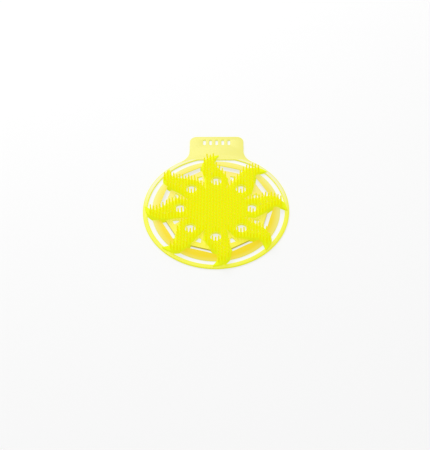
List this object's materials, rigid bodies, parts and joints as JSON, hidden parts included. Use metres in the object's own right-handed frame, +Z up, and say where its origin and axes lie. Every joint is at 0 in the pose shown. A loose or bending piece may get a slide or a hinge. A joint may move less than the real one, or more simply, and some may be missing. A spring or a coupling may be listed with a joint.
{
  "type": "urinal deodorizer screen",
  "caption": "Round flat drain screen of soft translucent plastic with curved bristled arms, drain openings and a pull tab.",
  "frame": {"origin": "centre of the round rim, on the flat underside", "axes": "+Z up out of the bristles, +Y from the centre towards the pull tab, +X to the right of it"},
  "size_m": [0.172, 0.202, 0.0135],
  "materials": {
    "soft_plastic": "soft scented translucent yellow plastic, satin"
  },
  "bodies": {
    "root": {"screen": "soft_plastic"}
  },
  "joints": []
}
